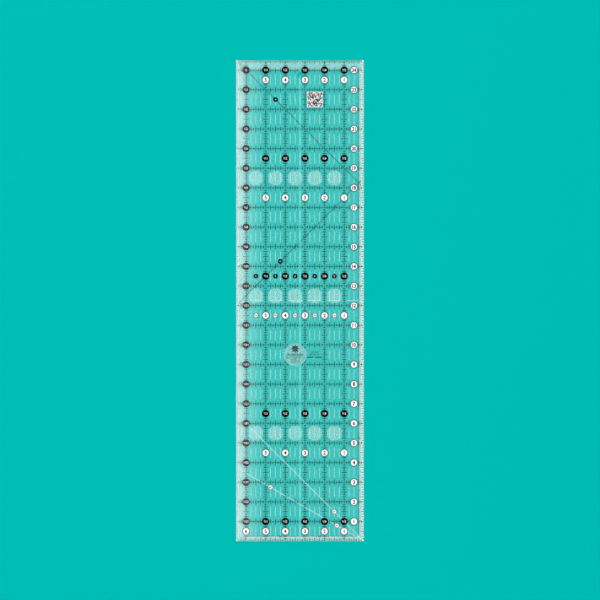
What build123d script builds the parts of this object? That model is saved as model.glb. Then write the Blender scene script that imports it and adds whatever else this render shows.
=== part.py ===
from build123d import *

# Quilting ruler, 6 1/2 by 24 1/2 inches: one clear acrylic sheet with a hanging hole, printed on its back
# and held still on cloth by a gritty film in strips and spots.
#
# The ruler lies flat on its printed back. +Z is up through the sheet, +Y runs along it to the end with the
# hanging hole, and +X runs across it to the edge that the white numbers are measured from. The origin is the
# middle of the footprint, on the surface that the ruler lies on. Lengths are in millimetres.

import math
import os

# ---- driving dimensions --------------------------------------------------------------------------
INCH = 25.4
WIDTH_IN = 6.5
LENGTH_IN = 24.5
SHEET_THICKNESS = 3.0
CORNER_RADIUS = 0.5
ARRIS = 0.2  # the sharp corners are taken off all round, at both faces and at the hole
HOLE_DIAMETER = 7.5
HOLE_FROM_END_IN = 0.75

INK_THICKNESS = 0.02
INK_COATS = 5  # one for each function named a coat below
FILM_THICKNESS = 0.12
FILM_INSET = 0.3  # film and ink stop this far short of the sheet's edge

RULE_WIDTH = 0.35
BLACK_ANGLE_WIDTH, WHITE_ANGLE_WIDTH = 0.45, 0.8
DASH_WIDTH = 0.5
DASH_START_IN, DASH_END_IN = 0.25, 0.75  # each dash fills the middle half of its inch
CENTRE_LINE_WIDTH = 2.2
CROSS_LINE_WIDTH = 1.3
DIAMOND_SIDE, DIAMOND_HOLE = 4.8, 1.8
EDGE_STRIP_WIDTH = 3.0

DISC_DIAMETER = 9.7
SMALL_DISC_DIAMETER = 6.3
GRIP_SPOT_DIAMETER = 0.76 * INCH
INFO_DISC_DIAMETER = 1.16 * INCH
CODE_PATCH_SIDE = 0.78 * INCH
CODE_PATCH_RADIUS = 0.8

WIDE_STRIP_IN = 0.5  # grip film along the left edge and the hole end
NARROW_STRIP_IN = 0.25  # grip film along the right edge and the other end

# ---- where the marks are, in inches from the left edge (u) and from the end without the hole (v) -
RULE_COLUMNS = [0.5, 1.5, 2.5, 3.5, 4.5, 5.5]
RULE_ROWS = list(range(1, 25))
CENTRE_U, CENTRE_V = WIDTH_IN / 2, LENGTH_IN / 2
NUMBER_COLUMNS = RULE_COLUMNS[1:]
WHITE_NUMBER_ROWS = [0.5, 4.5, 11.5, 17.5, 23.5]
BLACK_NUMBER_ROWS = [1.0, 6.5, 13.5, 19.5, 24.0]
WHITE_SIDE_COLUMN, BLACK_SIDE_COLUMN = 6.0, 0.5
BETWEEN_COLUMNS = [1.0, 2.0, 3.0, 4.0, 5.0]
SMALL_WHITE_ROW, SMALL_BLACK_ROW = 11.5, 13.5
GRIP_SPOT_ROWS = {"lower": 5.5, "middle": 12.5, "upper": 18.5}
INFO_DISC_AT = (3.0, 9.5)
CAPTION_AT = (4.0, 9.5)
CODE_PATCH_AT = (4.0, 22.5)
HOLE_AT = (CENTRE_U, LENGTH_IN - HOLE_FROM_END_IN)
TAN_30 = math.tan(math.radians(30))
BLACK_ANGLE_DISCS = [(2.0, 22.5), (2.25, 14.25)]
WHITE_ANGLE_DISCS = [(5.0, 1.5), (1.75, (WIDTH_IN - 1.75) * TAN_30), (5.125, (WIDTH_IN - 5.125) * TAN_30)]

# ---- levels --------------------------------------------------------------------------------------
# The film is what the ruler lies on. Above it come the coats of ink, the first coat on the sheet itself and
# each later one behind it, and then the sheet.
SHEET_LEVEL = FILM_THICKNESS + INK_COATS * INK_THICKNESS
WIDTH, LENGTH = WIDTH_IN * INCH, LENGTH_IN * INCH
STRIP_IN = EDGE_STRIP_WIDTH / INCH
INSET_IN = FILM_INSET / INCH


def at(u, v):
    """The place u inches from the left edge and v inches from the end without the hole."""
    return u * INCH - WIDTH / 2, v * INCH - LENGTH / 2


def dots(places, diameter):
    """Round spots, one at each place given in inches."""
    return [Pos(*at(u, v)) * Circle(diameter / 2) for u, v in places]


def line(start, end, width):
    """A straight printed line between two places given in inches."""
    (x0, y0), (x1, y1) = at(*start), at(*end)
    turn = math.degrees(math.atan2(y1 - y0, x1 - x0))
    middle = Pos((x0 + x1) / 2, (y0 + y1) / 2)
    return middle * Rot(0, 0, turn) * Rectangle(math.hypot(x1 - x0, y1 - y0), width)


def panel(u0, v0, u1, v1):
    """A rectangle between two corners given in inches."""
    (x0, y0), (x1, y1) = at(u0, v0), at(u1, v1)
    return Pos((x0 + x1) / 2, (y0 + y1) / 2) * Rectangle(x1 - x0, y1 - y0)


def write(name, solids):
    """One STEP file for a node."""
    shape = solids[0] if len(solids) == 1 else Compound(children=solids)
    export_step(shape, f"parts/{name}.step")


def write_layer(name, shapes, level, thickness):
    """A node of thin solids, one under each flat face, all standing on one level."""
    faces = [face for shape in shapes for face in shape.faces()]
    write(name, [extrude(Pos(0, 0, level) * face, thickness, dir=(0, 0, 1)).solid() for face in faces])


# ---- the sheet -----------------------------------------------------------------------------------
def acrylic_sheet():
    """Clear cast acrylic, cut to size with square corners, polished, with one hole to hang it by."""
    outline = RectangleRounded(WIDTH, LENGTH, CORNER_RADIUS)
    (hole,) = dots([HOLE_AT], HOLE_DIAMETER)
    sheet = Pos(0, 0, SHEET_LEVEL) * extrude(outline - hole, SHEET_THICKNESS)
    flat_faces = sheet.faces().sort_by(Axis.Z)
    return chamfer(flat_faces[0].edges() + flat_faces[-1].edges(), ARRIS).solid()


# ---- the printed marks, as flat shapes by node, one function for each coat of ink ----------------
def first_coat():
    """The round spots that carry the numbers, the diamond, the round badge and the square patch."""
    marks = {
        "white_discs_side": dots([(WHITE_SIDE_COLUMN, v) for v in RULE_ROWS], DISC_DIAMETER),
        "black_discs_side": dots([(BLACK_SIDE_COLUMN, v) for v in RULE_ROWS], DISC_DIAMETER),
        "white_discs_small": dots([(u, SMALL_WHITE_ROW) for u in BETWEEN_COLUMNS], SMALL_DISC_DIAMETER),
        "black_discs_small": dots([(u, SMALL_BLACK_ROW) for u in BETWEEN_COLUMNS], SMALL_DISC_DIAMETER),
        "white_discs_angle": dots(WHITE_ANGLE_DISCS, SMALL_DISC_DIAMETER),
        "black_discs_angle": dots(BLACK_ANGLE_DISCS, SMALL_DISC_DIAMETER),
    }
    for number, v in enumerate(WHITE_NUMBER_ROWS, start=1):
        columns = RULE_COLUMNS if number == 1 else NUMBER_COLUMNS
        marks[f"white_discs_row_{number}"] = dots([(u, v) for u in columns], DISC_DIAMETER)
    for number, v in enumerate(BLACK_NUMBER_ROWS, start=1):
        marks[f"black_discs_row_{number}"] = dots([(u, v) for u in NUMBER_COLUMNS], DISC_DIAMETER)
    ring = Rectangle(DIAMOND_SIDE, DIAMOND_SIDE) - Rectangle(DIAMOND_HOLE, DIAMOND_HOLE)
    marks["centre_diamond"] = [Pos(*at(CENTRE_U, CENTRE_V)) * Rot(0, 0, 45) * ring]
    marks["info_disc"] = dots([INFO_DISC_AT], INFO_DISC_DIAMETER)
    patch = RectangleRounded(CODE_PATCH_SIDE, CODE_PATCH_SIDE, CODE_PATCH_RADIUS)
    marks["code_patch"] = [Pos(*at(*CODE_PATCH_AT)) * patch]
    return marks


def quarter_inch_dashes():
    """White dashes on every quarter inch that has no rule, left out where a badge or the caption is."""
    quarters = [q / 4 for q in range(1, 25) if q / 4 not in RULE_COLUMNS and q / 4 != CENTRE_U]
    dashes = []
    for v in range(24):
        for u in quarters:
            covered = any(
                abs(u - spot_u) <= 0.5 and v == math.floor(spot_v)
                for spot_u, spot_v in (CODE_PATCH_AT, INFO_DISC_AT, CAPTION_AT)
            )
            if not covered:
                dashes.append(line((u, v + DASH_START_IN), (u, v + DASH_END_IN), DASH_WIDTH))
    return dashes


def second_coat():
    """Everything that runs along the ruler: inch rules, centre line, dashes and bright edge strips."""
    low, high = INSET_IN, LENGTH_IN - INSET_IN
    hole_u, hole_v = HOLE_AT
    clear = (HOLE_DIAMETER / 2 + FILM_INSET) / INCH
    return {
        "lengthwise_rules": [line((u, low), (u, high), RULE_WIDTH) for u in RULE_COLUMNS],
        "centre_line_lengthwise": [
            line((hole_u, low), (hole_u, hole_v - clear), CENTRE_LINE_WIDTH),
            line((hole_u, hole_v + clear), (hole_u, high), CENTRE_LINE_WIDTH),
        ],
        "quarter_inch_dashes": quarter_inch_dashes(),
        "edge_strip_left": [panel(INSET_IN, low, STRIP_IN, high)],
        "edge_strip_right": [panel(WIDTH_IN - STRIP_IN, low, WIDTH_IN - INSET_IN, high)],
    }


def third_coat():
    """Everything that runs straight across: inch rules and the middle line."""
    near, far = STRIP_IN, WIDTH_IN - STRIP_IN
    return {
        "crosswise_rules": [line((near, v), (far, v), RULE_WIDTH) for v in RULE_ROWS],
        "centre_line_crosswise": [line((near, CENTRE_V), (far, CENTRE_V), CROSS_LINE_WIDTH)],
    }


def fourth_coat():
    """One black and one white 45 degree rule."""
    near, far = STRIP_IN, WIDTH_IN - STRIP_IN
    hole_end = line((near, LENGTH_IN - near), (far, LENGTH_IN - far), BLACK_ANGLE_WIDTH)
    return {
        "angle_rule_45_hole_end": [hole_end],
        "angle_rule_45_corner": [line((near, WIDTH_IN - near), (far, near), WHITE_ANGLE_WIDTH)],
    }


def fifth_coat():
    """The black 45 degree rule that crosses the first, and the white 30 that leaves the same corner."""
    near, far = STRIP_IN, WIDTH_IN - STRIP_IN
    corner = line((near, (WIDTH_IN - near) * TAN_30), (far, near * TAN_30), WHITE_ANGLE_WIDTH)
    return {
        "angle_rule_45_middle": [line((near, 12 + near), (far, 12 + far), BLACK_ANGLE_WIDTH)],
        "angle_rule_30_corner": [corner],
    }


# ---- the grip film -------------------------------------------------------------------------------
def grip_film():
    """Gritty film that the ruler stands on: a strip along each edge, and three rows of spots."""
    left, right = WIDE_STRIP_IN, WIDTH_IN - NARROW_STRIP_IN
    low, high = INSET_IN, LENGTH_IN - INSET_IN
    pieces = {
        "grip_strip_left": [panel(INSET_IN, low, left, high)],
        "grip_strip_right": [panel(right, low, WIDTH_IN - INSET_IN, high)],
        "grip_strip_hole_end": [panel(left, LENGTH_IN - WIDE_STRIP_IN, right, high)],
        "grip_strip_plain_end": [panel(left, low, right, NARROW_STRIP_IN)],
    }
    for place, v in GRIP_SPOT_ROWS.items():
        pieces[f"grip_spots_{place}"] = dots([(u, v) for u in BETWEEN_COLUMNS], GRIP_SPOT_DIAMETER)
    return pieces


# ---- everything, written out ---------------------------------------------------------------------
os.makedirs("parts", exist_ok=True)

write("acrylic_sheet", [acrylic_sheet()])

coats = [first_coat(), second_coat(), third_coat(), fourth_coat(), fifth_coat()]
for number, marks in enumerate(coats, start=1):
    for node, shapes in marks.items():
        write_layer(node, shapes, SHEET_LEVEL - number * INK_THICKNESS, INK_THICKNESS)

for node, shapes in grip_film().items():
    write_layer(node, shapes, 0, FILM_THICKNESS)
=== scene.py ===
import math

import bmesh
import bpy
from mathutils import Matrix, Vector


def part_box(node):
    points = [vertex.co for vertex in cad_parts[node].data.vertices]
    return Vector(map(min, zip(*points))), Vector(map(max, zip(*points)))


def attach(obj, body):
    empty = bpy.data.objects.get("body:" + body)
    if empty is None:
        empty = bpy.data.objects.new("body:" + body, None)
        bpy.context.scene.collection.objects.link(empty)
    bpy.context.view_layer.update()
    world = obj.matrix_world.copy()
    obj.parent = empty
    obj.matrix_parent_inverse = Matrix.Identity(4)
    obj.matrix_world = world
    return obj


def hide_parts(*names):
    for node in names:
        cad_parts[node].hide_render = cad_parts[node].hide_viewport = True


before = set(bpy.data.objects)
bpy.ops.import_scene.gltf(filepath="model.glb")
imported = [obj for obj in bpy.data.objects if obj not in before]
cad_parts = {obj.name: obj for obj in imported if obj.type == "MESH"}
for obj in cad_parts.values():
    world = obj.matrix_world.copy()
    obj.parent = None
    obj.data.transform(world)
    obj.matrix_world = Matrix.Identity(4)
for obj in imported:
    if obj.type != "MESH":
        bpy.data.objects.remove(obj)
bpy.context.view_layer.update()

# ---- the sheet ---------------------------------------------------------------------------------------
# One piece of clear cast acrylic, one eighth inch stock cut to 6 1/2 by 24 1/2 inches. Its edges are
# polished, the sharp corners are taken off, and one hole is drilled to hang it by. Everything else is
# printed on its back or stuck to it.
MM = 0.001
INCH = 25.4 * MM
sheet_low, sheet_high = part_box("acrylic_sheet")
WIDE, LONG = (sheet_high.x - sheet_low.x) / INCH, (sheet_high.y - sheet_low.y) / INCH
CENTRE_U, CENTRE_V = WIDE / 2, LONG / 2
BACK = sheet_low.z
CORNER_RADIUS, ARRIS = 0.5 * MM, 0.2 * MM
HOLE_U, HOLE_V, HOLE_RADIUS = CENTRE_U, LONG - 0.75, 3.75 * MM


def at(u, v, z=0.0):
    """The place u inches from the left edge and v inches from the end without the hole."""
    return Vector((sheet_low.x + u * INCH, sheet_low.y + v * INCH, z))


def linear(code):
    """A colour written in sRGB, such as #00BEB6, as the linear value that a shader takes."""
    parts = [int(code[i : i + 2], 16) / 255 for i in (1, 3, 5)]
    return [p / 12.92 if p <= 0.04045 else ((p + 0.055) / 1.055) ** 2.4 for p in parts] + [1.0]


def add(tree, kind, inputs=(), **settings):
    """Adds a node. settings are its own properties; inputs are its sockets, as values or as links."""
    made = tree.nodes.new(kind)
    for name, value in settings.items():
        setattr(made, name, value)
    for socket, value in dict(inputs).items():
        if isinstance(value, bpy.types.NodeSocket):
            tree.links.new(value, made.inputs[socket])
        else:
            made.inputs[socket].default_value = value
    return made


def new_material(name):
    """An empty node material and its tree."""
    made = bpy.data.materials.new(name)
    made.use_nodes = True
    made.node_tree.nodes.clear()
    return made, made.node_tree


def new_piece(name, mesh, *materials):
    """An object for a finished mesh, at the origin."""
    mesh.name = name
    piece = bpy.data.objects.new(name, mesh)
    bpy.context.scene.collection.objects.link(piece)
    for material in materials:
        mesh.materials.append(material)
    return piece


def fix(piece, slot, *nodes):
    """The piece is part of the ruler's one body, and the nodes it stands for are hidden. slot is not used."""
    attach(piece, "root")
    if nodes:
        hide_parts(*nodes)
    return piece


def arc(centre, radius, start, end, steps):
    """Points round part of a circle, angles in degrees."""
    turns = [math.radians(start + (end - start) * i / steps) for i in range(steps + 1)]
    return [Vector((centre.x + radius * math.cos(t), centre.y + radius * math.sin(t))) for t in turns]


def let_light_through(tree, seen):
    """Ends a see-through material: what lies behind it is lit as if it weren't there."""
    ray = add(tree, "ShaderNodeLightPath").outputs
    unseen = add(tree, "ShaderNodeBsdfTransparent").outputs[0]
    for kind in ("Is Diffuse Ray", "Is Shadow Ray"):
        seen = add(tree, "ShaderNodeMixShader", {0: ray[kind], 1: seen, 2: unseen}).outputs[0]
    add(tree, "ShaderNodeOutputMaterial", {"Surface": seen})


# Polished acrylic: a hard, bright surface with a faint cool tint in the depth of the sheet. Handling leaves
# the polish a little uneven. Lamps shine through it on to the print, so it casts no shadow of its own.
def cast_acrylic(name, haze):
    material, tree = new_material(name)
    place = add(tree, "ShaderNodeTexCoord")
    wear = add(tree, "ShaderNodeTexNoise", {"Vector": place.outputs["Object"], "Scale": 1 / (30 * MM)})
    polish = add(tree, "ShaderNodeMapRange", {"Value": wear.outputs["Fac"], "To Min": 0.0, "To Max": 0.03})
    acrylic = add(
        tree,
        "ShaderNodeBsdfPrincipled",
        {
            "Base Color": linear("#FDFFFF"),
            "Roughness": polish.outputs["Result"],
            "IOR": 1.49,
            "Transmission Weight": 1.0,
        },
    )
    seen = acrylic.outputs["BSDF"]
    if haze:
        milk = add(tree, "ShaderNodeBsdfDiffuse", {"Color": linear("#B0FFFC")})
        seen = add(tree, "ShaderNodeMixShader", {0: haze, 1: seen, 2: milk.outputs[0]}).outputs[0]
    let_light_through(tree, seen)
    return material


def sheet_mesh():
    bm = bmesh.new()
    corners = [
        (sheet_high.x, sheet_high.y, 0),
        (sheet_low.x, sheet_high.y, 90),
        (sheet_low.x, sheet_low.y, 180),
        (sheet_high.x, sheet_low.y, 270),
    ]
    outline = []
    for x, y, start in corners:
        inward = Vector((-math.copysign(CORNER_RADIUS, x), -math.copysign(CORNER_RADIUS, y)))
        outline += arc(Vector((x, y)) + inward, CORNER_RADIUS, start, start + 90, 6)
    hole = arc(at(HOLE_U, HOLE_V), HOLE_RADIUS, 0, 360, 96)[:-1]
    edges = []
    for loop in (outline, hole):
        corners_of = [bm.verts.new((p.x, p.y, BACK)) for p in loop]
        edges += [bm.edges.new((a, b)) for a, b in zip(corners_of, corners_of[1:] + corners_of[:1])]
    back = bmesh.ops.triangle_fill(bm, edges=edges, use_beauty=True, use_dissolve=False)
    faces = [f for f in back["geom"] if isinstance(f, bmesh.types.BMFace)]
    front = bmesh.ops.extrude_face_region(bm, geom=faces)
    raised = [v for v in front["geom"] if isinstance(v, bmesh.types.BMVert)]
    bmesh.ops.translate(bm, verts=raised, vec=(0, 0, sheet_high.z - BACK))
    bmesh.ops.recalc_face_normals(bm, faces=bm.faces)
    square = math.radians(70)  # only the edges between a flat face and a wall are sharper than this
    rims = [e for e in bm.edges if len(e.link_faces) == 2 and e.calc_face_angle() > square]
    rims = [e for e in rims if abs(e.verts[0].co.z - e.verts[1].co.z) < 1e-6]
    bmesh.ops.bevel(bm, geom=rims, offset=ARRIS, segments=3, profile=0.5, affect="EDGES")
    bmesh.ops.recalc_face_normals(bm, faces=bm.faces)
    for face in bm.faces:
        flat = abs(face.normal.z) > 0.999
        face.smooth = not flat
        face.material_index = 1 if flat and face.normal.z < 0 else 0
    mesh = bpy.data.meshes.new("sheet")
    bm.to_mesh(mesh)
    bm.free()
    return mesh


polished = cast_acrylic("cast_acrylic_polished", haze=0.0)
printed_face = cast_acrylic("cast_acrylic_printed_face", haze=0.11)
sheet = new_piece("clear_sheet", sheet_mesh(), polished, printed_face)
fix(sheet, "clear_acrylic", "acrylic_sheet")


# ---- the inch rules ----------------------------------------------------------------------------------
# Six black rules along the sheet and twenty-four across it, the first colour screen printed on its back.
# Ink printed on clear acrylic joins it with no air between, so it is drawn reaching into the sheet.
COAT = 0.02 * MM  # the step between one printed layer and the next
RULE_WIDTH = 0.31 * MM
RULE_COLUMNS = [0.5, 1.5, 2.5, 3.5, 4.5, 5.5]
RULE_ROWS = range(1, 25)
STRIP = 3 * MM / INCH  # the crosswise rules stop at the bright edge strips


def screen_ink(name, colour, cover, mottle=0.0, grain=0.9 * MM):
    """Ink squeezed through a mesh. cover is how much of the light one surface of it stops, and mottle how
    unevenly. A real mesh leaves marks of 0.1 mm, drawn at grain instead so that they show."""
    material, tree = new_material(name)
    place = add(tree, "ShaderNodeTexCoord")
    noise = add(
        tree,
        "ShaderNodeTexNoise",
        {"Vector": place.outputs["Object"], "Scale": 1 / grain, "Detail": 2.0, "Roughness": 0.7},
    )
    tone = add(
        tree,
        "ShaderNodeMix",
        {0: noise.outputs["Fac"], 6: colour, 7: [c * 0.86 for c in colour[:3]] + [1.0]},
        data_type="RGBA",
    )
    bump = add(tree, "ShaderNodeBump", {"Strength": 0.15, "Distance": COAT, "Height": noise.outputs["Fac"]})
    ink = add(
        tree,
        "ShaderNodeBsdfPrincipled",
        {
            "Base Color": tone.outputs[2],
            "Roughness": 0.6,
            "Specular IOR Level": 0.0,
            "Normal": bump.outputs["Normal"],
        },
    )
    surface = ink.outputs["BSDF"]
    if cover < 1:
        amount = add(
            tree,
            "ShaderNodeMapRange",
            {
                "Value": noise.outputs["Fac"],
                "From Min": 0.3,
                "From Max": 0.7,
                "To Min": max(cover - mottle, 0.0),
                "To Max": min(cover + mottle, 1.0),
            },
        )
        clear = add(tree, "ShaderNodeBsdfTransparent")
        mixed = add(
            tree, "ShaderNodeMixShader", {0: amount.outputs["Result"], 1: clear.outputs[0], 2: surface}
        )
        let_light_through(tree, mixed.outputs[0])
    else:
        add(tree, "ShaderNodeOutputMaterial", {"Surface": surface})
    return material


def printed(outlines, front, back):
    """A mesh of thin prisms, one for each outline, front and back being coats above and below the face."""
    bm = bmesh.new()
    for outline in outlines:
        low = [bm.verts.new((p.x, p.y, BACK - back * COAT)) for p in outline]
        high = [bm.verts.new((p.x, p.y, BACK + front * COAT)) for p in outline]
        bm.faces.new(high)
        bm.faces.new(low[::-1])
        for i in range(len(outline)):
            j = (i + 1) % len(outline)
            bm.faces.new((low[i], low[j], high[j], high[i]))
    mesh = bpy.data.meshes.new("printed")
    bm.to_mesh(mesh)
    bm.free()
    return mesh


def stroke(start, end, width):
    """The four corners of a straight line between two places."""
    along = (end - start).to_2d().normalized()
    side = Vector((-along.y, along.x)) * width / 2
    return [start.to_2d() - side, end.to_2d() - side, end.to_2d() + side, start.to_2d() + side]


BLACK_INK = screen_ink("black_screen_ink", linear("#14090B"), cover=1.0)  # a dense, warm, even black
EDGE = 0.3 * MM / INCH  # ink stops just short of the cut edge
low_v, high_v = EDGE, LONG - EDGE
near_u, far_u = STRIP, WIDE - STRIP
BADGE_U, BADGE_V, BADGE_RADIUS = 3.0, 9.5, 0.58  # a badge interrupts whatever would run through it


def rule(along_y, place, start, end):
    """A rule from start to end in inches, along the ruler or across it, or the two parts of one that the
    badge interrupts."""
    badge_place, badge_along = (BADGE_U, BADGE_V) if along_y else (BADGE_V, BADGE_U)
    half_gap = math.sqrt(max(BADGE_RADIUS**2 - (place - badge_place) ** 2, 0.0))
    spans = [(start, badge_along - half_gap), (badge_along + half_gap, end)] if half_gap else [(start, end)]
    ends = [(at(place, a), at(place, b)) if along_y else (at(a, place), at(b, place)) for a, b in spans]
    return [stroke(a, b, RULE_WIDTH) for a, b in ends]


lengthwise = [part for u in RULE_COLUMNS for part in rule(True, u, low_v, high_v)]
fix(new_piece("rules_along", printed(lengthwise, 3, 2), BLACK_INK), "black_ink", "lengthwise_rules")
crosswise = [part for v in RULE_ROWS for part in rule(False, v, near_u, far_u)]
fix(new_piece("rules_across", printed(crosswise, 3, 1.5), BLACK_INK), "black_ink", "crosswise_rules")


# ---- the eighth inch marks ---------------------------------------------------------------------------
# Short bars across every inch rule, longer at the quarters and halves, and a comb of them along each of
# the four edges. They are part of the same black print as the rules.
def new_tree(name, sizes):
    """An empty geometry tree that takes a mesh, a material and named sizes, and gives a mesh."""
    tree = bpy.data.node_groups.new(name, "GeometryNodeTree")
    tree.interface.new_socket("Geometry", in_out="INPUT", socket_type="NodeSocketGeometry")
    tree.interface.new_socket("Material", in_out="INPUT", socket_type="NodeSocketMaterial")
    for size, kind in sizes.items():
        tree.interface.new_socket(size, in_out="INPUT", socket_type="NodeSocket" + kind)
    tree.interface.new_socket("Geometry", in_out="OUTPUT", socket_type="NodeSocketGeometry")
    return tree, tree.nodes.new("NodeGroupInput").outputs


def close_tree(tree, given, geometry):
    """Ends a tree in real geometry with its material on it."""
    real = add(tree, "GeometryNodeRealizeInstances", {"Geometry": geometry})
    inked = add(
        tree, "GeometryNodeSetMaterial", {"Geometry": real.outputs[0], "Material": given["Material"]}
    )
    add(tree, "NodeGroupOutput", {0: inked.outputs[0]})


def grow(name, tree, base, material, sizes):
    """Runs a tree on a base mesh, and gives the result as a piece with a plain mesh."""
    host = bpy.data.objects.new(name, base)
    bpy.context.scene.collection.objects.link(host)
    grower = host.modifiers.new("grow", "NODES")
    grower.node_group = tree
    values = {"Material": material, **sizes}
    for item in tree.interface.items_tree:
        if item.in_out == "INPUT" and item.name in values:
            grower[item.identifier] = values[item.name]
    bpy.context.view_layer.update()
    seen = host.evaluated_get(bpy.context.evaluated_depsgraph_get())
    mesh = bpy.data.meshes.new_from_object(seen)
    host.modifiers.remove(grower)
    bpy.data.objects.remove(host)
    return new_piece(name, mesh)


def points(places, z):
    """A mesh of loose points, for a tree to put things on."""
    mesh = bpy.data.meshes.new("points")
    mesh.from_pydata([(p.x, p.y, z) for p in places], [], [])
    return mesh


def graduation_tree():
    """A run of bars from each point, one every Pitch along X, or along Y with Turn at a quarter turn. Every
    eighth bar, counted from Phase, is a whole inch and takes Inch for its length, which may be none. Anchor 0
    centres a bar on its line. Bars within Clear Radius of Clear Centre are left out."""
    tree, given = new_tree(
        "graduations",
        {
            "Count": "Int", "Pitch": "Float", "Phase": "Int", "Turn": "Vector", "Eighth": "Float",
            "Quarter": "Float", "Half": "Float", "Inch": "Float", "Bar": "Float", "Thickness": "Float",
            "Anchor": "Float", "Clear Centre": "Vector", "Clear Radius": "Float",
        },
    )
    step = add(tree, "ShaderNodeCombineXYZ", {0: given["Pitch"]})
    run = add(tree, "GeometryNodeMeshLine", {"Count": given["Count"], "Offset": step.outputs[0]})
    runs = add(
        tree,
        "GeometryNodeInstanceOnPoints",
        {"Points": given["Geometry"], "Instance": run.outputs[0], "Rotation": given["Turn"]},
    )
    places = add(tree, "GeometryNodeRealizeInstances", {"Geometry": runs.outputs[0]})
    index = add(tree, "GeometryNodeInputIndex")
    in_run = add(tree, "ShaderNodeMath", {0: index.outputs[0], 1: given["Count"]}, operation="MODULO")
    counted = add(tree, "ShaderNodeMath", {0: in_run.outputs[0], 1: given["Phase"]}, operation="ADD")
    lengths = given["Eighth"]
    for every, size in ((2, "Quarter"), (4, "Half"), (8, "Inch")):
        left_over = add(tree, "ShaderNodeMath", {0: counted.outputs[0], 1: float(every)}, operation="MODULO")
        lands = add(tree, "FunctionNodeCompare", {0: left_over.outputs[0], 1: 0.5}, operation="LESS_THAN")
        chosen = add(
            tree,
            "GeometryNodeSwitch",
            {"Switch": lands.outputs[0], "False": lengths, "True": given[size]},
            input_type="FLOAT",
        )
        lengths = chosen.outputs[0]
    has_length = add(tree, "FunctionNodeCompare", {0: lengths, 1: 1e-6}, operation="GREATER_THAN")
    position = add(tree, "GeometryNodeInputPosition")
    away = add(
        tree,
        "ShaderNodeVectorMath",
        {0: position.outputs[0], 1: given["Clear Centre"]},
        operation="DISTANCE",
    )
    outside = add(
        tree,
        "FunctionNodeCompare",
        {0: away.outputs["Value"], 1: given["Clear Radius"]},
        operation="GREATER_THAN",
    )
    wanted = add(tree, "FunctionNodeBooleanMath", {0: has_length.outputs[0], 1: outside.outputs[0]})
    bar_size = add(tree, "ShaderNodeCombineXYZ", {0: given["Bar"], 1: 1.0, 2: given["Thickness"]})
    bar = add(tree, "GeometryNodeMeshCube", {"Size": bar_size.outputs[0]})
    shift = add(tree, "ShaderNodeCombineXYZ", {1: given["Anchor"]})
    anchored = add(
        tree, "GeometryNodeTransform", {"Geometry": bar.outputs[0], "Translation": shift.outputs[0]}
    )
    stretch = add(tree, "ShaderNodeCombineXYZ", {0: 1.0, 1: lengths, 2: 1.0})
    bars = add(
        tree,
        "GeometryNodeInstanceOnPoints",
        {
            "Points": places.outputs[0],
            "Selection": wanted.outputs[0],
            "Instance": anchored.outputs[0],
            "Rotation": given["Turn"],
            "Scale": stretch.outputs[0],
        },
    )
    close_tree(tree, given, bars.outputs[0])
    return tree


GRADUATIONS = graduation_tree()
EIGHTH = INCH / 8
MARKS_ALONG, MARKS_ACROSS = round(LONG * 8) - 1, round(WIDE * 8) - 1  # one at each eighth between the ends
QUARTER_TURN = math.pi / 2
BLACK_LEVEL = BACK + 0.5 * COAT  # middle of the black print, which is five coats thick here
rule_bars = {
    "Pitch": EIGHTH, "Eighth": 0.125 * INCH, "Quarter": 0.22 * INCH, "Half": 0.27 * INCH, "Inch": 0.0,
    "Bar": 0.65 * MM, "Thickness": 5 * COAT, "Anchor": 0.0,
    "Clear Centre": at(BADGE_U, BADGE_V, BLACK_LEVEL), "Clear Radius": BADGE_RADIUS * INCH,
}
along = grow(
    "marks_on_rules_along",
    GRADUATIONS,
    points([at(u, 1 / 8) for u in RULE_COLUMNS], BLACK_LEVEL),
    BLACK_INK,
    {**rule_bars, "Count": MARKS_ALONG, "Phase": 1, "Turn": (0, 0, QUARTER_TURN)},
)
fix(along, "black_ink")
across = grow(
    "marks_on_rules_across",
    GRADUATIONS,
    points([at(1 / 8, v) for v in RULE_ROWS], BLACK_LEVEL),
    BLACK_INK,
    {**rule_bars, "Count": MARKS_ACROSS, "Phase": 5, "Turn": (0, 0, 0)},
)
fix(across, "black_ink")

comb = {"Pitch": EIGHTH, "Bar": 0.85 * MM, "Thickness": 5 * COAT}
end_marks = {"Eighth": 0.09 * INCH, "Quarter": 0.13 * INCH, "Half": 0.13 * INCH, "Inch": 0.13 * INCH}
right_marks = {"Eighth": 0.075 * INCH, "Quarter": 0.1 * INCH, "Half": 0.12 * INCH, "Inch": 0.12 * INCH}
left_marks = {"Eighth": 0.07 * INCH, "Quarter": 0.08 * INCH, "Half": 0.085 * INCH, "Inch": 0.085 * INCH}
for name, corner, count, turn, anchor, lengths in (
    ("edge_marks_plain_end", at(1 / 8, low_v), MARKS_ACROSS, 0, 0.5, end_marks),
    ("edge_marks_hole_end", at(1 / 8, high_v), MARKS_ACROSS, 0, -0.5, end_marks),
    ("edge_marks_left", at(EDGE, 1 / 8), MARKS_ALONG, QUARTER_TURN, -0.5, left_marks),
    ("edge_marks_right", at(WIDE - EDGE, 1 / 8), MARKS_ALONG, QUARTER_TURN, 0.5, right_marks),
):
    marks = grow(
        name,
        GRADUATIONS,
        points([corner], BLACK_LEVEL),
        BLACK_INK,
        {**comb, **lengths, "Count": count, "Phase": 1, "Turn": (0, 0, turn), "Anchor": anchor},
    )
    fix(marks, "black_ink")


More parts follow.
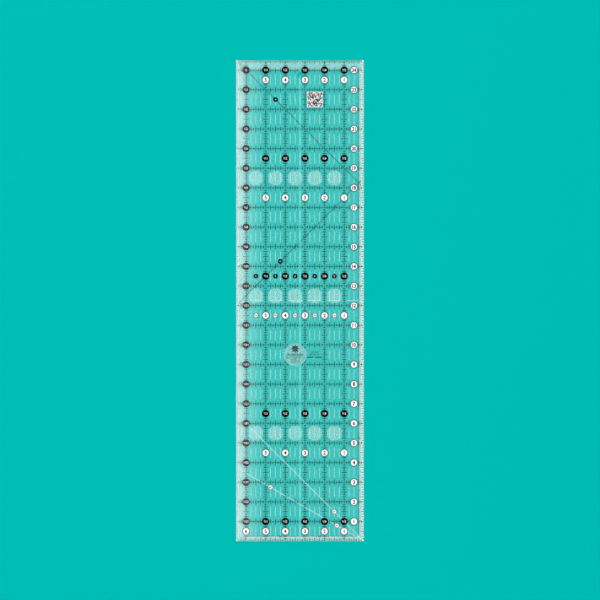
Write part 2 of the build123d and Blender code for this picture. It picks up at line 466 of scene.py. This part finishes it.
# ---- the angle rules ---------------------------------------------------------------------------------
# Thin black rules at 45 degrees from the corner by the hole and from the middle of the left edge, and
# white rules at 45 and 30 degrees from the far corner of the plain end, which the last colour prints.
TAN_30 = math.tan(math.radians(30))
BLACK_ANGLE, WHITE_ANGLE = 0.53 * MM, 0.8 * MM
MIDDLE_V = 12  # where the second black rule would meet the left edge
WHITE_START = 1 * MM / INCH  # how far from the left edge the white rules start
END_45, END_30 = 2 * EDGE, 0.12  # and how far from the right edge each one ends

hole_end = stroke(at(near_u, LONG - near_u), at(far_u, LONG - far_u), BLACK_ANGLE)
fix(
    new_piece("angle_45_hole_end", printed([hole_end], 3, 2.5), BLACK_INK),
    "black_ink",
    "angle_rule_45_hole_end",
)
middle = stroke(at(near_u, MIDDLE_V + near_u), at(far_u, MIDDLE_V + far_u), BLACK_ANGLE)
fix(
    new_piece("angle_45_middle", printed([middle], 2.5, 2), BLACK_INK),
    "black_ink",
    "angle_rule_45_middle",
)

# One pass of white, thin enough for what lies under it to show.
ANGLE_WHITE = screen_ink("white_screen_ink_angle_rules", linear("#EEFCFA"), cover=0.3, mottle=0.02)
corner_45 = stroke(at(WHITE_START, WIDE - WHITE_START), at(WIDE - END_45, END_45), WHITE_ANGLE)
fix(
    new_piece("angle_45_corner", printed([corner_45], 1, 3), ANGLE_WHITE),
    "thin_white_ink",
    "angle_rule_45_corner",
)
start_30, end_30 = at(WHITE_START, (WIDE - WHITE_START) * TAN_30), at(WIDE - END_30, END_30 * TAN_30)
corner_30 = stroke(start_30, end_30, WHITE_ANGLE)
fix(
    new_piece("angle_30_corner", printed([corner_30], 1.5, 3.5), ANGLE_WHITE),
    "thin_white_ink",
    "angle_rule_30_corner",
)


# ---- the centre lines --------------------------------------------------------------------------------
# A broad lengthwise line, a narrow crosswise one, and an open diamond where they meet, in one thin pass
# of white that lets the cloth's colour through.
CENTRE_LINE, CROSS_LINE = 1.9 * MM, 1.3 * MM
# Thin white over a coloured ground reads as a pale tint of it, which the broad line shows most.
CENTRE_WHITE = screen_ink("aqua_white_screen_ink", linear("#7CDED8"), cover=0.34, mottle=0.02)
CROSS_WHITE = screen_ink("white_screen_ink_cross_line", linear("#E6FBF9"), cover=0.165, mottle=0.03)
clear = HOLE_RADIUS / INCH + EDGE
gap = math.sqrt(BADGE_RADIUS**2 - (CENTRE_U - BADGE_U) ** 2)
spans = [(low_v, BADGE_V - gap), (BADGE_V + gap, HOLE_V - clear), (HOLE_V + clear, high_v)]
centre = [stroke(at(CENTRE_U, a), at(CENTRE_U, b), CENTRE_LINE) for a, b in spans]
fix(
    new_piece("centre_line_along", printed(centre, 3.5, 2), CENTRE_WHITE),
    "thin_white_ink",
    "centre_line_lengthwise",
)
half_line = CENTRE_LINE / INCH / 2
halves = [(near_u, CENTRE_U - half_line), (CENTRE_U + half_line, far_u)]
cross = [stroke(at(a, CENTRE_V), at(b, CENTRE_V), CROSS_LINE) for a, b in halves]
fix(
    new_piece("centre_line_across", printed(cross, 1, 2), CROSS_WHITE),
    "thin_white_ink",
    "centre_line_crosswise",
)
DIAMOND_OUT, DIAMOND_IN = 3.4 * MM, 1.3 * MM
middle_point = at(CENTRE_U, CENTRE_V).to_2d()
diamond = []
for side in range(4):
    a = Vector((math.cos(side * QUARTER_TURN), math.sin(side * QUARTER_TURN)))
    b = Vector((-a.y, a.x))
    diamond.append(
        [middle_point + p for p in (a * DIAMOND_OUT, b * DIAMOND_OUT, b * DIAMOND_IN, a * DIAMOND_IN)]
    )
fix(new_piece("diamond", printed(diamond, 2, 3), CROSS_WHITE), "white_ink", "centre_diamond")


# ---- the quarter inch dashes -------------------------------------------------------------------------
# Thin white dashes half an inch long on every quarter inch that has no rule, so that seam allowances can
# be read over dark cloth. They are left out where the badge, the square patch or the caption is.
def bars_tree():
    """A bar on each point, Bar wide and Length long."""
    tree, given = new_tree("bars_on_points", {"Bar": "Float", "Length": "Float", "Thickness": "Float"})
    size = add(tree, "ShaderNodeCombineXYZ", {0: given["Bar"], 1: given["Length"], 2: given["Thickness"]})
    bar = add(tree, "GeometryNodeMeshCube", {"Size": size.outputs[0]})
    bars = add(
        tree, "GeometryNodeInstanceOnPoints", {"Points": given["Geometry"], "Instance": bar.outputs[0]}
    )
    close_tree(tree, given, bars.outputs[0])
    return tree


BARS = bars_tree()
THIN_WHITE = screen_ink("thin_white_screen_ink", linear("#D2FFFE"), cover=0.42, mottle=0.03)
DASH_WIDTH, DASH_LENGTH = 0.5 * MM, 0.5 * INCH
CAPTION_U, CAPTION_V = 4.0, 9.5
PATCH_U, PATCH_V = 4.0, 22.5
COVERED = ((BADGE_U, BADGE_V), (CAPTION_U, CAPTION_V), (PATCH_U, PATCH_V))
quarters = [q / 4 for q in range(1, 25) if q / 4 not in RULE_COLUMNS and q / 4 != CENTRE_U]
dash_places = []
for row in range(int(LONG)):
    for u in quarters:
        if not any(abs(u - mark_u) <= 0.5 and row == math.floor(mark_v) for mark_u, mark_v in COVERED):
            dash_places.append(at(u, row + 0.5))
dashes = grow(
    "dashes",
    BARS,
    points(dash_places, BACK - 0.5 * COAT),
    THIN_WHITE,
    {"Bar": DASH_WIDTH, "Length": DASH_LENGTH, "Thickness": 3 * COAT},
)
fix(dashes, "thin_white_ink", "quarter_inch_dashes")


# ---- the quarter inch seam lines ---------------------------------------------------------------------
# Two rows of fine black dots a quarter inch in from the right edge and from the plain end, the usual seam
# allowance, each with two small crosses on it.
SEAM, SEAM_PITCH, SEAM_DOT = 0.25, 0.1, 1.0 * MM
RIGHT_FREE, PLAIN_FREE = 0.9, 0.7  # what each row leaves free at its ends, in inches
seam_right = [
    at(WIDE - SEAM, SEAM + SEAM_PITCH * (i + 1)) for i in range(int((LONG - RIGHT_FREE) / SEAM_PITCH))
]
seam_plain = [at(SEAM_PITCH * (i + 5), SEAM) for i in range(int((WIDE - PLAIN_FREE) / SEAM_PITCH))]
for name, dots in (("seam_line_right", seam_right), ("seam_line_plain_end", seam_plain)):
    seam_line = grow(
        name,
        BARS,
        points(dots, BLACK_LEVEL),
        BLACK_INK,
        {"Bar": SEAM_DOT, "Length": SEAM_DOT, "Thickness": 5 * COAT},
    )
    fix(seam_line, "black_ink")
ARM, ARM_WIDTH = 0.05, 0.4 * MM
seam_crosses = []
for u, v in ((2.25, SEAM), (4.25, SEAM), (WIDE - SEAM, 5.25), (WIDE - SEAM, 19.25)):
    for side in (-1, 1):
        seam_crosses.append(stroke(at(u - ARM, v - side * ARM), at(u + ARM, v + side * ARM), ARM_WIDTH))
fix(new_piece("seam_crosses", printed(seam_crosses, 4, 2), BLACK_INK), "black_ink")


# ---- the bright edge strips --------------------------------------------------------------------------
# A pale strip of white behind the marks of each long edge, where the blade runs, so that they stand out.
# It is one uneven pass, a little heavier at the right.
LEFT_WHITE = screen_ink("white_screen_ink_left_strip", linear("#F2F8F7"), cover=0.31, mottle=0.04)
RIGHT_WHITE = screen_ink("white_screen_ink_right_strip", linear("#E8FAF8"), cover=0.48, mottle=0.04)
for name, node, a, b, ink in (
    ("pale_strip_left", "edge_strip_left", EDGE, STRIP, LEFT_WHITE),
    ("pale_strip_right", "edge_strip_right", WIDE - STRIP, WIDE - EDGE, RIGHT_WHITE),
):
    strip = stroke(at((a + b) / 2, low_v), at((a + b) / 2, high_v), (b - a) * INCH)
    fix(new_piece(name, printed([strip], 0.5, 2.5), ink), "bright_edge_ink", node)


# ---- the number spots --------------------------------------------------------------------------------
# Round spots that carry the numbers: opaque white with a fine black rim, which count inches from the right
# edge and the plain end, and black ones turned to be read from the other side, which count half inches.
# Their levels are counted in coats in front of the printed face and behind it.
SPOT, RIM, BLACK_SPOT, SMALL_SPOT, SMALL_RIM = 8.2 * MM, 9.8 * MM, 9.7 * MM, 5.2 * MM, 6.3 * MM
NUMBER_COLUMNS = RULE_COLUMNS[1:]
WHITE_ROWS, BLACK_ROWS = [0.5, 4.5, 11.5, 17.5, 23.5], [1.0, 6.5, 13.5, 19.5, 24.0]
BETWEEN, SMALL_WHITE_ROW, SMALL_BLACK_ROW = [1.0, 2.0, 3.0, 4.0, 5.0], 11.5, 13.5
HALF = "½"
# How tall the figures of each kind of spot are, and how wide a number may be, in millimetres.
WHITE_FIGURES, BLACK_SIDE_FIGURES, BLACK_FIGURES = (4.6, 6.0), (2.9, 7.4), (3.0, 5.2)
SMALL_FIGURES, WHITE_ANGLE_FIGURES, BLACK_ANGLE_FIGURES = (2.3, 4.0), (2.0, 4.4), (1.4, 3.2)
BOLD, SPACING = 0.03, 0.95
FIGURE_SHARE = 0.7  # how much of the letter size the height of a figure takes


def disc_tree():
    """A low round spot on each point."""
    tree, given = new_tree("round_spots", {"Diameter": "Float", "Thickness": "Float", "Sides": "Int"})
    radius = add(tree, "ShaderNodeMath", {0: given["Diameter"], 1: 0.5}, operation="MULTIPLY")
    spot = add(
        tree,
        "GeometryNodeMeshCylinder",
        {"Vertices": given["Sides"], "Radius": radius.outputs[0], "Depth": given["Thickness"]},
    )
    spots = add(
        tree, "GeometryNodeInstanceOnPoints", {"Points": given["Geometry"], "Instance": spot.outputs[0]}
    )
    close_tree(tree, given, spots.outputs[0])
    return tree


DISCS = disc_tree()
# A heavy white that hides what is behind it.
WHITE_INK = screen_ink("white_screen_ink", linear("#FAFAF9"), cover=1.0)


def discs(name, places, diameter, front, back, ink, slot, *nodes):
    """A group of round spots between two levels, in coats above and below the printed face."""
    middle_level = BACK + (front - back) / 2 * COAT
    sizes = {"Diameter": diameter, "Thickness": (front + back) * COAT, "Sides": 64}
    piece = grow(name, DISCS, points([at(u, v) for u, v in places], middle_level), ink, sizes)
    return fix(piece, slot, *nodes)


glyphs = {}


def glyph(text, height, widest, bold):
    """The flat outline of a number as a mesh, centred on the origin. height is that of a figure."""
    if (text, height, widest, bold) not in glyphs:
        letters = bpy.data.curves.new("letters", "FONT")
        letters.body = text
        letters.size = height / FIGURE_SHARE
        letters.offset = bold * letters.size
        letters.space_character = SPACING
        letters.resolution_u = 4
        holder = bpy.data.objects.new("letters", letters)
        bpy.context.scene.collection.objects.link(holder)
        bpy.context.view_layer.update()
        seen = holder.evaluated_get(bpy.context.evaluated_depsgraph_get())
        mesh = bpy.data.meshes.new_from_object(seen)
        bpy.data.objects.remove(holder)
        xs, ys = [v.co.x for v in mesh.vertices], [v.co.y for v in mesh.vertices]
        centre_of = Vector(((min(xs) + max(xs)) / 2, (min(ys) + max(ys)) / 2, 0))
        squeeze = min(1.0, widest / (max(xs) - min(xs)))
        mesh.transform(Matrix.Diagonal((squeeze, 1, 1, 1)) @ Matrix.Translation(-centre_of))
        glyphs[text, height, widest, bold] = mesh
    return glyphs[text, height, widest, bold]


def numbers(name, labels, figures, turned, front, back, ink, slot):
    """Numbers as one printed piece. labels maps a place to its text; turned is for the other reader."""
    bm = bmesh.new()
    height, widest = (size * MM for size in figures)
    for (u, v), text in labels.items():
        figure = glyph(text, height, widest, 0.0 if turned else BOLD).copy()
        turn = Matrix.Rotation(math.pi if turned else 0.0, 4, "Z")
        figure.transform(Matrix.Translation(at(u, v, BACK - back * COAT)) @ turn)
        bm.from_mesh(figure)
        bpy.data.meshes.remove(figure)
    bmesh.ops.remove_doubles(bm, verts=bm.verts, dist=1e-6)
    bmesh.ops.recalc_face_normals(bm, faces=bm.faces)
    for face in bm.faces:
        if face.normal.z > 0:
            face.normal_flip()
    raised = bmesh.ops.extrude_face_region(bm, geom=bm.faces[:])
    tops = [v for v in raised["geom"] if isinstance(v, bmesh.types.BMVert)]
    bmesh.ops.translate(bm, verts=tops, vec=(0, 0, (front + back) * COAT))
    bmesh.ops.recalc_face_normals(bm, faces=bm.faces)
    mesh = bpy.data.meshes.new(name)
    bm.to_mesh(mesh)
    bm.free()
    return fix(new_piece(name, mesh, ink), slot)


white_labels = {"side": {(6.0, float(v)): str(v) for v in RULE_ROWS}}
for row, v in enumerate(WHITE_ROWS, start=1):
    columns = RULE_COLUMNS if row == 1 else NUMBER_COLUMNS
    white_labels[f"row_{row}"] = {(u, v): f"{WIDE - u:.0f}" for u in columns}
black_labels = {"side": {}}
for v in RULE_ROWS:
    whole = RULE_ROWS[-1] - v
    black_labels["side"][0.5, float(v)] = f"{whole}{HALF}" if whole else HALF
for row, v in enumerate(BLACK_ROWS, start=1):
    black_labels[f"row_{row}"] = {(u, v): f"{u - 0.5:.0f}{HALF}" for u in NUMBER_COLUMNS}

for group, labels in white_labels.items():
    node = f"white_discs_{group}"
    discs(f"white_rims_{group}", labels, RIM, 4, 3, BLACK_INK, "black_ink")
    discs(f"white_spots_{group}", labels, SPOT, 5.5, 4, WHITE_INK, "white_ink", node)
    numbers(f"white_spot_numbers_{group}", labels, WHITE_FIGURES, False, 7, -5, BLACK_INK, "black_ink")
for group, labels in black_labels.items():
    node = f"black_discs_{group}"
    discs(f"black_spots_{group}", labels, BLACK_SPOT, 5, 4, BLACK_INK, "black_ink", node)
    figures = BLACK_SIDE_FIGURES if group == "side" else BLACK_FIGURES
    numbers(f"black_spot_numbers_{group}", labels, figures, True, 7, -4, WHITE_INK, "white_ink")

half_labels = {(u, SMALL_WHITE_ROW): f"{int(WIDE) - u:.0f}{HALF}" for u in BETWEEN}
whole_labels = {(u, SMALL_BLACK_ROW): f"{u:.0f}" for u in BETWEEN}
discs("small_white_rims", half_labels, SMALL_RIM, 4, 3, BLACK_INK, "black_ink")
discs("small_white_spots", half_labels, SMALL_SPOT, 5.5, 4, WHITE_INK, "white_ink", "white_discs_small")
numbers("small_white_numbers", half_labels, SMALL_FIGURES, False, 7, -5, BLACK_INK, "black_ink")
discs("small_black_spots", whole_labels, SMALL_RIM, 5, 4, BLACK_INK, "black_ink", "black_discs_small")
numbers("small_black_numbers", whole_labels, SMALL_FIGURES, True, 7, -4, WHITE_INK, "white_ink")

degrees_45 = "45°"
white_angles = {
    (5.0, 1.5): degrees_45,
    (1.75, (WIDE - 1.75) * TAN_30): "60°",
    (5.125, (WIDE - 5.125) * TAN_30): "30°",
}
black_angles = {(2.0, 22.5): degrees_45, (2.25, 14.25): degrees_45}
discs("angle_white_rims", white_angles, SMALL_RIM, 4, 3, BLACK_INK, "black_ink")
discs("angle_white_spots", white_angles, SMALL_SPOT, 5.5, 4, WHITE_INK, "white_ink", "white_discs_angle")
numbers("angle_white_numbers", white_angles, WHITE_ANGLE_FIGURES, False, 7, -5, BLACK_INK, "black_ink")
discs("angle_black_spots", black_angles, SMALL_RIM, 5, 4, BLACK_INK, "black_ink", "black_discs_angle")
numbers("angle_black_numbers", black_angles, BLACK_ANGLE_FIGURES, True, 7, -4, WHITE_INK, "white_ink")


# ---- the square patch --------------------------------------------------------------------------------
# An opaque white square with a field of small black cells, such as a maker prints for its own use. These
# cells are picked at random and say nothing.
PATCH_SIDE, PATCH_RADIUS = 0.78 * INCH, 0.8 * MM
CELLS_ACROSS, CELL_SHARE, CELL_FIELD = 21, 0.66, 0.7 * INCH


def cells_tree():
    """A square grid of cells, of which a random Share is printed."""
    tree, given = new_tree(
        "random_cells", {"Field": "Float", "Across": "Int", "Share": "Float", "Thickness": "Float"}
    )
    grid = add(
        tree,
        "GeometryNodeMeshGrid",
        {"Size X": given["Field"], "Size Y": given["Field"], "Vertices X": given["Across"],
         "Vertices Y": given["Across"]},
    )
    kept = add(
        tree,
        "FunctionNodeRandomValue",
        {"Probability": given["Share"], "Seed": 7},
        data_type="BOOLEAN",
    )
    pitch = add(tree, "ShaderNodeMath", {0: given["Field"], 1: given["Across"]}, operation="DIVIDE")
    cell_size = add(
        tree, "ShaderNodeCombineXYZ", {0: pitch.outputs[0], 1: pitch.outputs[0], 2: given["Thickness"]}
    )
    cell = add(tree, "GeometryNodeMeshCube", {"Size": cell_size.outputs[0]})
    cells = add(
        tree,
        "GeometryNodeInstanceOnPoints",
        {"Points": grid.outputs[0], "Selection": kept.outputs[3], "Instance": cell.outputs[0]},
    )
    placed = add(
        tree, "GeometryNodeInstanceOnPoints", {"Points": given["Geometry"], "Instance": cells.outputs[0]}
    )
    close_tree(tree, given, placed.outputs[0])
    return tree


patch_outline = []
inset = PATCH_SIDE / 2 - PATCH_RADIUS
for x, y, start in ((1, 1, 0), (-1, 1, 90), (-1, -1, 180), (1, -1, 270)):
    corner = at(PATCH_U, PATCH_V).to_2d() + Vector((x, y)) * inset
    patch_outline += arc(corner, PATCH_RADIUS, start, start + 90, 5)
fix(new_piece("square_patch", printed([patch_outline], 5.5, 4), WHITE_INK), "white_ink", "code_patch")
cells = grow(
    "square_patch_cells",
    cells_tree(),
    points([at(PATCH_U, PATCH_V)], BACK + 5.5 * COAT),
    BLACK_INK,
    {"Field": CELL_FIELD, "Across": CELLS_ACROSS, "Share": CELL_SHARE, "Thickness": 3 * COAT},
)
fix(cells, "black_ink")


# ---- the round badge ---------------------------------------------------------------------------------
# A frosted disc with a plain eight-pointed quilt star and rows of bars in place of lettering, and to its
# right three more bars in place of a caption.
BADGE_WHITE = screen_ink("frosted_screen_ink_badge", linear("#CED0D0"), cover=0.15, mottle=0.04)
badge_rim = arc(at(BADGE_U, BADGE_V), BADGE_RADIUS * INCH, 0, 360, 128)[:-1]
fix(new_piece("badge", printed([badge_rim], 4, 3), BADGE_WHITE), "thin_white_ink", "info_disc")
STAR_V, STAR_RADIUS, STAR_WAIST = 0.3, 0.235, 0.12


def star(u, v):
    """Eight separate diamonds round a point, as in a pieced star block."""
    centre, gap = at(u, v).to_2d(), 0.2 * MM
    diamonds = []
    for step in range(8):
        turn = math.radians(45 * step)
        along = Vector((math.cos(turn), math.sin(turn)))
        across = Vector((-along.y, along.x)) * (STAR_WAIST * math.sin(math.radians(22.5)) * INCH - gap)
        waist = along * STAR_WAIST * INCH
        tip, root = along * STAR_RADIUS * INCH, along * gap
        diamonds.append([centre + p for p in (root, waist - across, tip, waist + across)])
    return diamonds


def greeked(u, v, half_width, thick, words):
    """A row of bars in place of words, centred at a place, thick in millimetres. words are the relative
    lengths of the bars."""
    space = 0.35 * words[0]
    scale = 2 * half_width / (sum(words) + space * (len(words) - 1))
    left, row = u - half_width, []
    for word in words:
        row.append(stroke(at(left, v), at(left + word * scale, v), thick * MM))
        left += (word + space) * scale
    return row


badge_marks = star(BADGE_U, BADGE_V + STAR_V)
for rise, half_width, thick, words in (
    (0.02, 0.4, 0.8, (3, 5, 2, 4)),
    (-0.06, 0.46, 0.65, (2, 4, 3, 5, 2)),
    (-0.16, 0.47, 0.65, (4, 2, 5, 3, 3)),
    (-0.26, 0.24, 0.45, (3, 4, 2)),
    (-0.33, 0.22, 0.45, (2, 3, 3)),
    (-0.4, 0.2, 0.45, (4, 2)),
):
    badge_marks += greeked(BADGE_U, BADGE_V + rise, half_width, thick, words)
fix(new_piece("badge_marks", printed(badge_marks, 6, -4), BLACK_INK), "black_ink")
caption = (
    greeked(CAPTION_U, CAPTION_V + 0.13, 0.185, 0.65, (3, 4))
    + greeked(CAPTION_U - 0.03, CAPTION_V + 0.01, 0.25, 0.6, (4, 3, 2))
    + greeked(CAPTION_U, CAPTION_V - 0.13, 0.385, 1.0, (5, 6))
)
fix(new_piece("caption_bars", printed(caption, 3, 2), BLACK_INK), "black_ink")


# ---- the grip film -----------------------------------------------------------------------------------
# Clear film with fine grit in it, bonded over the print in a strip along each edge and in three rows of
# spots. It frosts what is seen through it, and keeps the ruler from sliding on cloth.
GRIT = 1.6 * MM  # real grit is about 0.1 mm across, drawn coarser so that it shows
FILM_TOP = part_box("grip_strip_left")[1].z
FILM_SPOT = 0.76 * INCH


def gritty_film(name, cover, colour="#E4EAEA"):
    """Frosted film. Each surface stops cover of the light, more where a grain is, less between grains."""
    material, tree = new_material(name)
    place = add(tree, "ShaderNodeTexCoord")
    grains = add(
        tree,
        "ShaderNodeTexNoise",
        {"Vector": place.outputs["Object"], "Scale": 1 / GRIT, "Detail": 3.0, "Roughness": 0.75},
    )
    amount = add(
        tree,
        "ShaderNodeMapRange",
        {
            "Value": grains.outputs["Fac"],
            "From Min": 0.35,
            "From Max": 0.65,
            "To Min": cover * 0.55,
            "To Max": cover * 1.45,
        },
    )
    grit = {"Strength": 0.5, "Distance": 0.05 * MM, "Height": grains.outputs["Fac"]}
    bump = add(tree, "ShaderNodeBump", grit)
    milk = add(
        tree,
        "ShaderNodeBsdfPrincipled",
        {
            "Base Color": linear(colour),
            "Roughness": 0.8,
            "Specular IOR Level": 0.2,
            "Normal": bump.outputs["Normal"],
        },
    )
    clear_part = add(tree, "ShaderNodeBsdfTransparent")
    mixed = add(
        tree,
        "ShaderNodeMixShader",
        {0: amount.outputs["Result"], 1: clear_part.outputs[0], 2: milk.outputs["BSDF"]},
    )
    let_light_through(tree, mixed.outputs[0])
    return material


def film_strip(name, node, material):
    """One strip of film, the size and place of its node."""
    low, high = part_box(node)
    corners_of = [Vector(c) for c in ((low.x, low.y), (high.x, low.y), (high.x, high.y), (low.x, high.y))]
    mesh = printed([corners_of], -(BACK - high.z) / COAT, (BACK - low.z) / COAT)
    return fix(new_piece(name, mesh, material), "grip_film", node)


for side, film in (
    ("left", gritty_film("gritty_film_left", cover=0.21, colour="#C6C4C4")),
    ("right", gritty_film("gritty_film_right", cover=0.24)),
    ("hole_end", gritty_film("gritty_film_hole_end", cover=0.145)),
    ("plain_end", gritty_film("gritty_film_plain_end", cover=0.24)),
):
    film_strip(f"film_{side}", f"grip_strip_{side}", film)
FILM_SPOTS = gritty_film("gritty_film_spots", cover=0.125)
for place, v in (("lower", 5.5), ("middle", 12.5), ("upper", 18.5)):
    discs(
        f"film_spots_{place}",
        [(u, v) for u in BETWEEN],
        FILM_SPOT,
        -(BACK - FILM_TOP) / COAT,
        BACK / COAT,
        FILM_SPOTS,
        "grip_film",
        f"grip_spots_{place}",
    )


# ---- the studio --------------------------------------------------------------------------------------
# A plain pale table with a turquoise card on it, because a clear ruler printed in white needs a coloured
# ground to be seen. Soft light comes from all round, with nothing bright straight above the ruler but one
# dim panel that leaves a faint glare down its left side.
def stage_sheet(name, low, high, z, material):
    mesh = bpy.data.meshes.new(name)
    corners_of = [(low[0], low[1], z), (high[0], low[1], z), (high[0], high[1], z), (low[0], high[1], z)]
    mesh.from_pydata(corners_of, [], [(0, 1, 2, 3)])
    new_piece(name, mesh, material)


def matt(name, colour):
    """Paint or card with no gloss, a very little uneven from its fibres."""
    material, tree = new_material(name)
    place = add(tree, "ShaderNodeTexCoord")
    fibre = add(tree, "ShaderNodeTexNoise", {"Vector": place.outputs["Object"], "Scale": 1 / (4 * MM)})
    tone = add(
        tree,
        "ShaderNodeMix",
        {0: fibre.outputs["Fac"], 6: colour, 7: [c * 0.985 for c in colour[:3]] + [1.0]},
        data_type="RGBA",
    )
    paper = add(tree, "ShaderNodeBsdfDiffuse", {"Color": tone.outputs[2]})
    add(tree, "ShaderNodeOutputMaterial", {"Surface": paper.outputs[0]})
    return material


TABLE_HALF, CARD_HALF = 4, 0.55
pale, turquoise = matt("pale_table_paint", linear("#E4E2DE")), matt("turquoise_card", linear("#00ACA5"))
stage_sheet("table", (-TABLE_HALF, -TABLE_HALF), (TABLE_HALF, TABLE_HALF), -1.0 * MM, pale)
stage_sheet("card", (-CARD_HALF, -CARD_HALF), (CARD_HALF, CARD_HALF), -0.02 * MM, turquoise)

# Bright walls all round, which end just short of straight above, where the room is dark.
WALLS, WALLS_FADE, WALLS_END = 1.14, 0.972, 0.986  # the last two are sines of the height above the table
world = bpy.data.worlds.new("studio")
bpy.context.scene.world = world
world.use_nodes = True
sky = world.node_tree
sky.nodes.clear()
direction = add(sky, "ShaderNodeTexCoord")
height = add(sky, "ShaderNodeSeparateXYZ", {0: direction.outputs["Generated"]})
glow = add(
    sky,
    "ShaderNodeMapRange",
    {
        "Value": height.outputs["Z"],
        "From Min": WALLS_FADE,
        "From Max": WALLS_END,
        "To Min": WALLS,
        "To Max": 0.0,
    },
)
light = add(sky, "ShaderNodeBackground", {"Color": (1, 1, 1, 1), "Strength": glow.outputs["Result"]})
add(sky, "ShaderNodeOutputWorld", {"Surface": light.outputs[0]})

softbox = bpy.data.lights.new("key", "AREA")
softbox.shape = "SQUARE"
softbox.size = 1.8
softbox.energy = 22
key = bpy.data.objects.new("key", softbox)
key.location = (-2.2, 1.4, 2.4)
key.rotation_euler = (-key.location).to_track_quat("-Z", "Y").to_euler()
key.visible_glossy = False  # it lights the print without a hard-edged reflection in the sheet
bpy.context.scene.collection.objects.link(key)

PANEL_LEFT, PANEL_FULL, PANEL_RIGHT, PANEL_HALF = -0.34, -0.2, -0.108, 0.95
PANEL_HEIGHT, PANEL_POWER = 2.6, 3.1
glare, glare_tree = new_material("panel_glow")
panel_place = add(glare_tree, "ShaderNodeTexCoord")
across_panel = add(glare_tree, "ShaderNodeSeparateXYZ", {0: panel_place.outputs["Object"]})
fade = add(
    glare_tree,
    "ShaderNodeMapRange",
    {
        "Value": across_panel.outputs["X"],
        "From Min": PANEL_RIGHT,
        "From Max": PANEL_FULL,
        "To Min": 0.0,
        "To Max": PANEL_POWER,
    },
)
glow_out = add(glare_tree, "ShaderNodeEmission", {"Color": (1, 1, 1, 1), "Strength": fade.outputs["Result"]})
add(glare_tree, "ShaderNodeOutputMaterial", {"Surface": glow_out.outputs[0]})
glare.cycles.emission_sampling = "NONE"
stage_sheet("panel", (PANEL_LEFT, -PANEL_HALF), (PANEL_RIGHT, PANEL_HALF), PANEL_HEIGHT, glare)

VIEW_SPAN = 775.8 * MM  # the width that the camera takes in at the ruler
camera = bpy.data.cameras.new("camera")
camera.lens = 100
camera.sensor_width = 36
stand = bpy.data.objects.new("camera", camera)
stand.location = (0, 0.9 * MM, sheet_high.z + VIEW_SPAN * camera.lens / camera.sensor_width)
bpy.context.scene.collection.objects.link(stand)
bpy.context.scene.camera = stand
bpy.context.scene.view_settings.view_transform = "Standard"
bpy.context.scene.cycles.transparent_max_bounces = 32  # print, film and sheet lie one behind another
